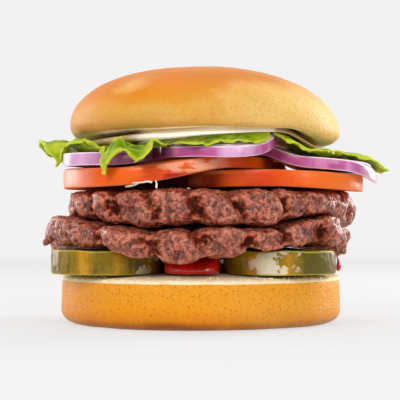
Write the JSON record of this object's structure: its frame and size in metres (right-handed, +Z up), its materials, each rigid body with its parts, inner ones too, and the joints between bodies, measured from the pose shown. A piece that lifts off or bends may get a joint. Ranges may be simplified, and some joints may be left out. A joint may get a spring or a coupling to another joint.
{
  "type": "double hamburger",
  "caption": "Double hamburger: pickles and ketchup on the bottom bun, stacked beef patties, tomato, red onion, lettuce and mayonnaise under a domed top bun.",
  "frame": {"origin": "centre of the flat underside of the bottom bun, where the burger rests", "axes": "+Z up, -Y towards the front of the burger, +X to the right seen from the front"},
  "size_m": [0.1351, 0.1181, 0.0968],
  "materials": {
    "bread": "baked crust, golden brown, satin",
    "beef": "grilled minced beef, brown with pink spots, moist",
    "tomato": "cut ripe tomato, wet orange red",
    "onion": "cut red onion, magenta to lilac, moist",
    "lettuce": "crisp green leaf with pale veins",
    "pickle": "dill pickle, olive and amber, wet",
    "ketchup": "glossy deep red sauce",
    "mayonnaise": "creamy white sauce"
  },
  "bodies": {
    "root": {"bun_heel": "bread", "bun_crown": "bread", "pickle_front_left": "pickle", "pickle_front_right": "pickle", "pickle_back_left": "pickle", "pickle_back_right": "pickle", "ketchup": "ketchup", "patty_lower": "beef", "patty_upper": "beef", "tomato_left": "tomato", "tomato_right": "tomato", "tomato_back": "tomato", "onion_left": "onion", "onion_centre": "onion", "onion_right": "onion", "onion_back": "onion", "lettuce_left": "lettuce", "lettuce_front": "lettuce", "lettuce_centre": "lettuce", "lettuce_right": "lettuce", "lettuce_back": "lettuce", "mayonnaise": "mayonnaise"}
  },
  "joints": []
}
